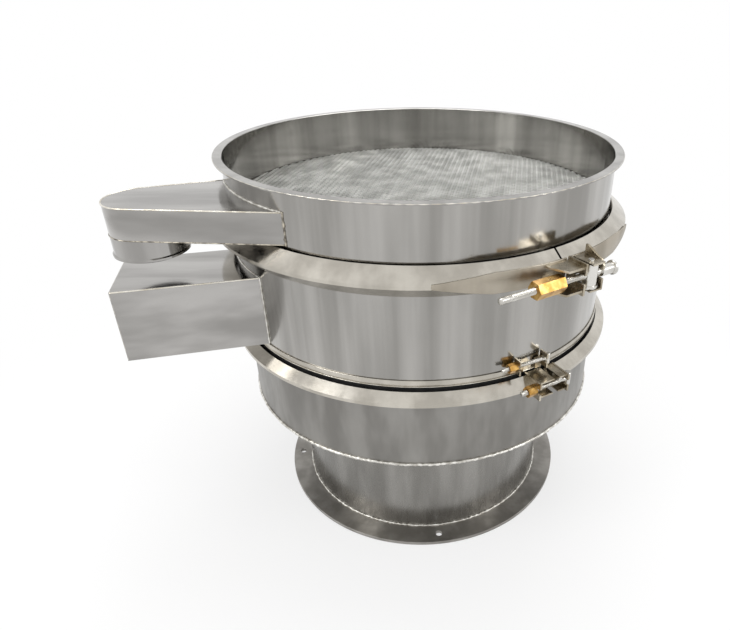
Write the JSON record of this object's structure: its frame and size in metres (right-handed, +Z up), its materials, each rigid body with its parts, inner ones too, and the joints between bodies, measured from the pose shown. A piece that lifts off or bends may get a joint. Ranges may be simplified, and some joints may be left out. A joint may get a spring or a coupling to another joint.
{
  "type": "vibrating sieve",
  "caption": "Round stainless vibrating sieve: clamped upper and middle frames over a drum base on a pedestal, woven screen, round coarse outlet and box fines chute.",
  "frame": {"origin": "centre of the foot flange underside, on the floor", "axes": "+Z up along the machine axis; -X towards the two discharge spouts; -Y towards the clamp closures side"},
  "size_m": [1.0244, 0.9168, 0.82],
  "materials": {
    "polished_shell": "mirror polished stainless sheet, with a satin inner wall on the upper frame",
    "satin_shell": "satin stainless sheet",
    "dull_plate": "satin stainless plate with faint brown heat and handling stains",
    "polished_band": "polished rolled stainless with a warm tint",
    "steel_rod": "bright turned steel",
    "duct_steel": "mirror polished stainless sheet with brushed swirls on its flat faces",
    "pedestal_steel": "polished stainless sheet, darker in tone",
    "strap_steel": "satin stainless strap with a straw heat tint",
    "closure_plate": "cut stainless plate with a faint straw tint and bright edges",
    "pale_silicone": "pale food grade silicone",
    "weight_steel": "machined dark steel",
    "brass_nut": "turned brass hexagon bar",
    "black_rubber": "matt black rubber",
    "motor_paint": "enamelled motor casting",
    "woven_mesh": "plain woven stainless wire"
  },
  "bodies": {
    "base": {"foot_flange": "dull_plate", "pedestal_shell": "pedestal_steel", "drum_floor": "satin_shell", "drum_shell": "satin_shell", "spring_posts": "satin_shell", "retaining_ring": "satin_shell", "rubber_skirt": "black_rubber", "coil_springs": "steel_rod", "lower_vband": "polished_band", "lower_left_lug": "closure_plate", "lower_right_lug": "closure_plate", "lower_tbolt": "steel_rod"},
    "lower_nut": {"lower_nut": "brass_nut"},
    "vibrating_frame": {"strip_band": "polished_band", "strip_left_lug": "closure_plate", "strip_right_lug": "closure_plate", "strip_tbolt": "steel_rod", "middle_shell": "polished_shell", "fines_spout": "duct_steel", "fines_pan": "satin_shell", "table_plate": "satin_shell", "table_bolts": "steel_rod", "motor_bolts": "steel_rod", "spring_caps": "satin_shell", "motor_body": "motor_paint", "motor_flange": "motor_paint", "motor_top_bell": "motor_paint", "motor_bottom_bell": "motor_paint", "terminal_box": "motor_paint", "screen_gasket": "pale_silicone", "screen_ring": "satin_shell", "screen_mesh": "woven_mesh", "screen_hoop": "satin_shell", "upper_shell": "polished_shell", "coarse_spout": "duct_steel", "coarse_outlet": "duct_steel", "vband_left": "polished_band", "left_strap": "strap_steel", "left_fork": "closure_plate", "hinge_left": "closure_plate", "hinge_pin": "steel_rod"},
    "strip_nut": {"strip_nut": "brass_nut"},
    "clamp_half": {"vband_right": "polished_band", "right_strap": "strap_steel", "right_bracket": "closure_plate", "hinge_right": "closure_plate"},
    "swing_bolt": {"trunnion": "steel_rod", "swing_rod": "steel_rod"},
    "nut_washer": {"nut_washer": "steel_rod"},
    "coupling_nut": {"coupling_nut": "brass_nut"},
    "rotor": {"motor_shaft": "steel_rod", "upper_weight": "weight_steel"},
    "lower_weight": {"lower_weight": "weight_steel"}
  },
  "joints": [
    {"name": "frame_bounce", "type": "slide", "parent": "base", "child": "vibrating_frame", "axis": [0, 0, 1], "range_m": [-0.003, 0.003], "stiffness_N_per_m": 400000, "deforming": ["coil_springs", "rubber_skirt"]},
    {"name": "lower_nut_travel", "type": "slide", "parent": "base", "child": "lower_nut", "axis": [-0.8738, -0.4863, 0], "range_m": [0, 0.01]},
    {"name": "strip_nut_travel", "type": "slide", "parent": "vibrating_frame", "child": "strip_nut", "axis": [-0.8988, -0.4384, 0], "range_m": [0, 0.01]},
    {"name": "motor_spin", "type": "hinge", "parent": "vibrating_frame", "child": "rotor", "pos_m": [0, 0, 0.35], "axis": [0, 0, 1], "continuous": true},
    {"name": "weight_lead", "type": "hinge", "parent": "rotor", "child": "lower_weight", "pos_m": [0, 0, 0.218], "axis": [0, 0, 1], "range_deg": [-90, 90]},
    {"name": "clamp_open", "type": "hinge", "parent": "vibrating_frame", "child": "clamp_half", "pos_m": [-0.25108, 0.37224, 0.689], "axis": [0, 0, 1], "range_deg": [0, 2]},
    {"name": "bolt_swing", "type": "hinge", "parent": "clamp_half", "child": "swing_bolt", "pos_m": [0.28218, -0.37643, 0.684], "axis": [0, 0, 1], "range_deg": [0, 12]},
    {"name": "washer_travel", "type": "slide", "parent": "swing_bolt", "child": "nut_washer", "axis": [-0.8572, -0.515, 0], "range_m": [-0.0351, 0.0541]},
    {"name": "nut_turn", "type": "hinge", "parent": "nut_washer", "child": "coupling_nut", "pos_m": [0.20247, -0.42433, 0.684], "axis": [-0.8572, -0.515, 0], "range_deg": [-7200, 11088]}
  ],
  "couplings": [
    {"joint": "washer_travel", "follows": "nut_turn", "m_per_rad": 0.00027852}
  ]
}
